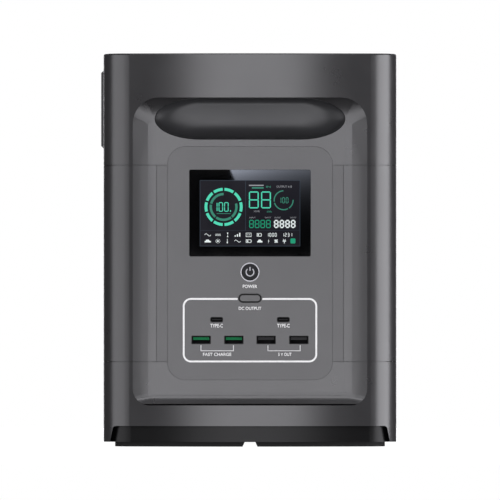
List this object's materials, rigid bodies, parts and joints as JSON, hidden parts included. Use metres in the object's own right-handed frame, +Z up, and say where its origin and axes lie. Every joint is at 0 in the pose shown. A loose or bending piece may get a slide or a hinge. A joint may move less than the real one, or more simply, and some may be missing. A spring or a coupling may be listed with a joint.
{
  "type": "power station",
  "caption": "Portable power station in an upright case with a carrying bar and recessed panel at each end, a display, USB ports, mains outlets and vented sides.",
  "frame": {"origin": "on the ground under the middle of the case", "axes": "+Z up, front with the display towards -Y, +X to the right when facing the front"},
  "size_m": [0.2138, 0.3924, 0.283],
  "materials": {
    "shell_plastic": "fine-grained matt",
    "panel_plastic": "fine-grained matt",
    "cup_plastic": "fine-grained matt",
    "tray_plastic": "matt",
    "grille_plastic": "matt",
    "foot_rubber": "matt",
    "screen_glass": "polished",
    "display_body": "matt",
    "board_green": "satin",
    "chrome_trim": "polished",
    "button_dark": "satin",
    "port_steel": "satin",
    "fast_green": "satin",
    "tongue_black": "satin",
    "socket_black": "satin",
    "contact_brass": "satin",
    "screw_steel": "satin",
    "breaker_red": "satin",
    "fan_plastic": "satin",
    "cell_wrap": "satin",
    "holder_plastic": "matt",
    "nickel_strip": "satin",
    "chassis_plastic": "matt",
    "sink_aluminium": "satin",
    "core_ferrite": "matt",
    "winding_copper": "gloss",
    "can_plastic": "gloss",
    "lead_red": "satin"
  },
  "bodies": {
    "case": {"top_shell": "shell_plastic", "bottom_shell": "shell_plastic", "right_side_panel": "shell_plastic", "left_side_panel": "shell_plastic", "front_hand_cup": "cup_plastic", "rear_hand_cup": "cup_plastic", "right_grille": "grille_plastic", "left_grille": "grille_plastic", "front_fan_frame": "fan_plastic", "rear_fan_frame": "fan_plastic", "base_tray": "tray_plastic", "base_screws": "screw_steel", "rubber_feet": "foot_rubber", "front_frame": "panel_plastic", "rear_frame": "panel_plastic", "front_panel": "panel_plastic", "rear_panel": "panel_plastic", "display_glass": "screen_glass", "display_module": "display_body", "display_board": "board_green", "button_switches": "tongue_black", "power_ring": "chrome_trim", "usb_a_shells": "port_steel", "usb_c_shells": "port_steel", "fast_usb_tongues": "fast_green", "usb_tongues": "tongue_black", "usb_board": "board_green", "lower_ac_outlets": "socket_black", "upper_ac_outlets": "socket_black", "car_socket": "socket_black", "expansion_port": "socket_black", "dc_jacks": "socket_black", "ac_inlet": "socket_black", "solar_input": "socket_black", "breaker": "socket_black", "hinge_pins": "screw_steel", "socket_contacts": "contact_brass", "dc_output_board": "board_green", "battery_cells": "cell_wrap", "cell_holders": "holder_plastic", "busbars": "nickel_strip", "bms_board": "board_green", "chassis": "chassis_plastic", "board_spacers": "nickel_strip", "battery_leads": "lead_red", "inverter_board": "board_green", "charger_board": "board_green", "heat_sinks": "sink_aluminium", "transformer_core": "core_ferrite", "windings": "winding_copper", "capacitors": "can_plastic"},
    "power_key": {"power_button": "button_dark"},
    "output_key": {"output_button": "panel_plastic"},
    "ac_key": {"ac_button": "button_dark"},
    "dc_key": {"dc_button": "button_dark"},
    "reset_key": {"breaker_button": "breaker_red"},
    "front_rotor": {"front_fan_rotor": "fan_plastic"},
    "rear_rotor": {"rear_fan_rotor": "fan_plastic"},
    "socket_cap": {"car_cap": "tray_plastic"},
    "port_cover": {"expansion_cover": "tray_plastic"}
  },
  "joints": [
    {"name": "power_press", "type": "slide", "parent": "case", "child": "power_key", "axis": [0, 1, 0], "range_m": [0, 0.0006], "stiffness_N_per_m": 900, "springref_m": -0.001},
    {"name": "output_press", "type": "slide", "parent": "case", "child": "output_key", "axis": [0, 1, 0], "range_m": [0, 0.0006], "stiffness_N_per_m": 900, "springref_m": -0.001},
    {"name": "ac_press", "type": "slide", "parent": "case", "child": "ac_key", "axis": [0, -1, 0], "range_m": [0, 0.0006], "stiffness_N_per_m": 900, "springref_m": -0.001},
    {"name": "dc_press", "type": "slide", "parent": "case", "child": "dc_key", "axis": [0, -1, 0], "range_m": [0, 0.0006], "stiffness_N_per_m": 900, "springref_m": -0.001},
    {"name": "reset_press", "type": "slide", "parent": "case", "child": "reset_key", "axis": [0, -1, 0], "range_m": [0, 0.002], "stiffness_N_per_m": 600, "springref_m": -0.001},
    {"name": "front_fan_spin", "type": "hinge", "parent": "case", "child": "front_rotor", "pos_m": [0.0945, -0.032, 0.24325], "axis": [1, 0, 0], "continuous": true},
    {"name": "rear_fan_spin", "type": "hinge", "parent": "case", "child": "rear_rotor", "pos_m": [0.0945, 0.032, 0.24325], "axis": [1, 0, 0], "continuous": true},
    {"name": "cap_hinge", "type": "hinge", "parent": "case", "child": "socket_cap", "pos_m": [0.036, 0.1822, 0.138], "axis": [1, 0, 0], "range_deg": [0, 120]},
    {"name": "cover_hinge", "type": "hinge", "parent": "case", "child": "port_cover", "pos_m": [-0.024, 0.1817, 0.0735], "axis": [1, 0, 0], "range_deg": [0, 120]}
  ]
}
